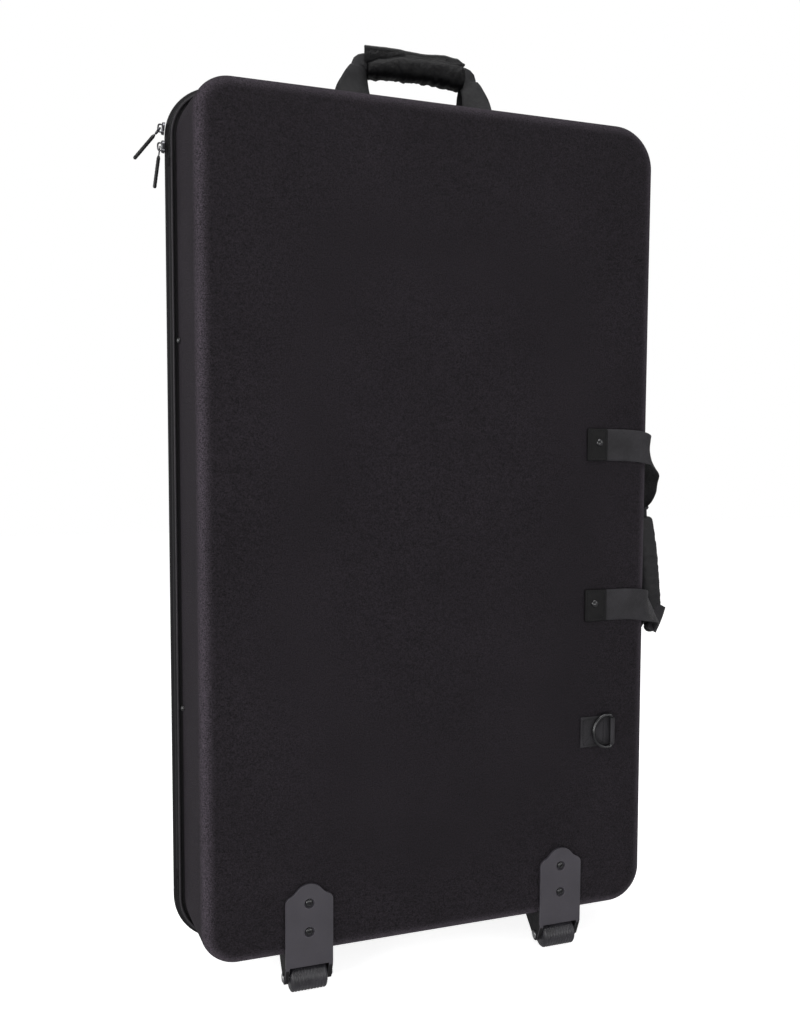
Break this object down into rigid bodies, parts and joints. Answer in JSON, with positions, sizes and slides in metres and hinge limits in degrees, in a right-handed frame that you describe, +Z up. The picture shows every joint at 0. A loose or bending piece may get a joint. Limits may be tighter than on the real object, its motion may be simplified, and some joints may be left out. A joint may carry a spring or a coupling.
{
  "type": "portfolio case",
  "caption": "Upright hard-shell carry case with a fabric hinge, zip, padded top and side handles, D-rings and rollers under the front edge.",
  "frame": {"origin": "middle of the whole object's footprint, on the floor that the rollers and rear feet stand on", "axes": "+Z up, -Y out of the front face that carries the wheel brackets, +X towards the side handle"},
  "size_m": [0.6703, 0.1867, 1.0597],
  "materials": {
    "shell_fabric": "matte fabric over moulded foam",
    "lining": "brushed lining",
    "zip_tape": "woven tape",
    "zip_chain": "coil zip",
    "slider_metal": "bright",
    "pull_rubber": "moulded",
    "bracket_plastic": "satin",
    "roller_rubber": "satin",
    "steel": "bright",
    "black_steel": "black gloss",
    "webbing": "woven webbing",
    "grip_fabric": "padded fabric",
    "patch_leather": "fine grain",
    "foot_rubber": "matte"
  },
  "bodies": {
    "case_base": {"axle_left": "steel", "axle_right": "steel", "backing_plate_left": "steel", "backing_plate_right": "steel", "d_ring_tab_front": "webbing", "front_lining": "lining", "front_shell": "shell_fabric", "front_zip_band": "zip_tape", "front_zip_chain": "zip_chain", "hinge_tape": "zip_tape", "retaining_strap_lower": "webbing", "retaining_strap_upper": "webbing", "screw_left_1": "black_steel", "screw_left_2": "black_steel", "screw_right_1": "black_steel", "screw_right_2": "black_steel", "side_patch_front_lower": "patch_leather", "side_patch_front_upper": "patch_leather", "side_rivet_front_lower": "black_steel", "side_rivet_front_upper": "black_steel", "top_tab_front_left": "webbing", "top_tab_front_right": "webbing", "wall_rivet_left_lower": "black_steel", "wall_rivet_left_upper": "black_steel", "wall_rivet_right_lower": "black_steel", "wall_rivet_right_upper": "black_steel", "wheel_bracket_left": "bracket_plastic", "wheel_bracket_right": "bracket_plastic", "zip_tape_end": "zip_tape"},
    "lid": {"back_lining": "lining", "back_shell": "shell_fabric", "back_zip_band": "zip_tape", "back_zip_chain": "zip_chain", "d_ring_tab_back": "webbing", "rear_foot_left": "foot_rubber", "rear_foot_right": "foot_rubber", "side_patch_back_lower": "patch_leather", "side_patch_back_upper": "patch_leather", "side_rivet_back_lower": "black_steel", "side_rivet_back_upper": "black_steel", "top_tab_back_left": "webbing", "top_tab_back_right": "webbing"},
    "zip_slider_upper": {"zip_slider_upper": "slider_metal"},
    "zip_slider_lower": {"zip_slider_lower": "slider_metal"},
    "zip_pull_upper": {"zip_ring_upper": "slider_metal", "zip_pull_upper": "pull_rubber"},
    "zip_pull_lower": {"zip_ring_lower": "slider_metal", "zip_pull_lower": "pull_rubber"},
    "side_handle_front": {"side_strap_front": "webbing", "side_grip": "grip_fabric"},
    "side_handle_back": {"side_strap_back": "webbing"},
    "top_handle_front": {"top_strap_front": "webbing", "top_grip": "grip_fabric"},
    "top_handle_back": {"top_strap_back": "webbing"},
    "d_ring_front": {"d_ring_front": "black_steel"},
    "d_ring_back": {"d_ring_back": "black_steel"},
    "roller_left": {"roller_left": "roller_rubber"},
    "roller_right": {"roller_right": "roller_rubber"}
  },
  "joints": [
    {"name": "lid_hinge", "type": "hinge", "parent": "case_base", "child": "lid", "pos_m": [-0.3021, 0.0188, 0.507], "axis": [0, 0, 1], "range_deg": [0, 180]},
    {"name": "zip_slider_upper_run", "type": "hinge", "parent": "case_base", "child": "zip_slider_upper", "pos_m": [-0.2413, 0.0188, 0.9341], "axis": [0, 1, 0], "range_deg": [0, 85]},
    {"name": "zip_slider_lower_run", "type": "hinge", "parent": "case_base", "child": "zip_slider_lower", "pos_m": [-0.2413, 0.0188, 0.9341], "axis": [0, 1, 0], "range_deg": [0, 85]},
    {"name": "zip_pull_upper_swing", "type": "hinge", "parent": "zip_slider_upper", "child": "zip_pull_upper", "pos_m": [-0.30618, 0.0188, 0.9423], "axis": [0, 1, 0], "range_deg": [-15, 120]},
    {"name": "zip_pull_lower_swing", "type": "hinge", "parent": "zip_slider_lower", "child": "zip_pull_lower", "pos_m": [-0.3067, 0.0188, 0.9224], "axis": [0, 1, 0], "range_deg": [-6, 45]},
    {"name": "roller_left_spin", "type": "hinge", "parent": "case_base", "child": "roller_left", "pos_m": [-0.1655, -0.0742, 0.0155], "axis": [1, 0, 0], "continuous": true},
    {"name": "roller_right_spin", "type": "hinge", "parent": "case_base", "child": "roller_right", "pos_m": [0.1375, -0.0742, 0.0155], "axis": [1, 0, 0], "continuous": true},
    {"name": "side_handle_front_swing", "type": "hinge", "parent": "case_base", "child": "side_handle_front", "pos_m": [0.1953, -0.0866, 0.507], "axis": [0, 0, 1], "range_deg": [-110, 0]},
    {"name": "side_handle_back_swing", "type": "hinge", "parent": "lid", "child": "side_handle_back", "pos_m": [0.1953, 0.0865, 0.507], "axis": [0, 0, 1], "range_deg": [0, 110]},
    {"name": "top_handle_front_swing", "type": "hinge", "parent": "case_base", "child": "top_handle_front", "pos_m": [-0.014, 0.0033, 0.98569], "axis": [1, 0, 0], "range_deg": [0, 75]},
    {"name": "top_handle_back_swing", "type": "hinge", "parent": "lid", "child": "top_handle_back", "pos_m": [-0.014, 0.0343, 0.98569], "axis": [1, 0, 0], "range_deg": [-75, 0]},
    {"name": "d_ring_front_swing", "type": "hinge", "parent": "case_base", "child": "d_ring_front", "pos_m": [0.2012, -0.0893, 0.2597], "axis": [0, 0, 1], "range_deg": [0, 170]},
    {"name": "d_ring_back_swing", "type": "hinge", "parent": "lid", "child": "d_ring_back", "pos_m": [0.2012, 0.0892, 0.7543], "axis": [0, 0, 1], "range_deg": [-170, 0]}
  ],
  "couplings": [
    {"joint": "zip_slider_upper_run", "follows": "lid_hinge", "ratio": 0.46},
    {"joint": "zip_slider_lower_run", "follows": "lid_hinge", "ratio": 0.46}
  ]
}
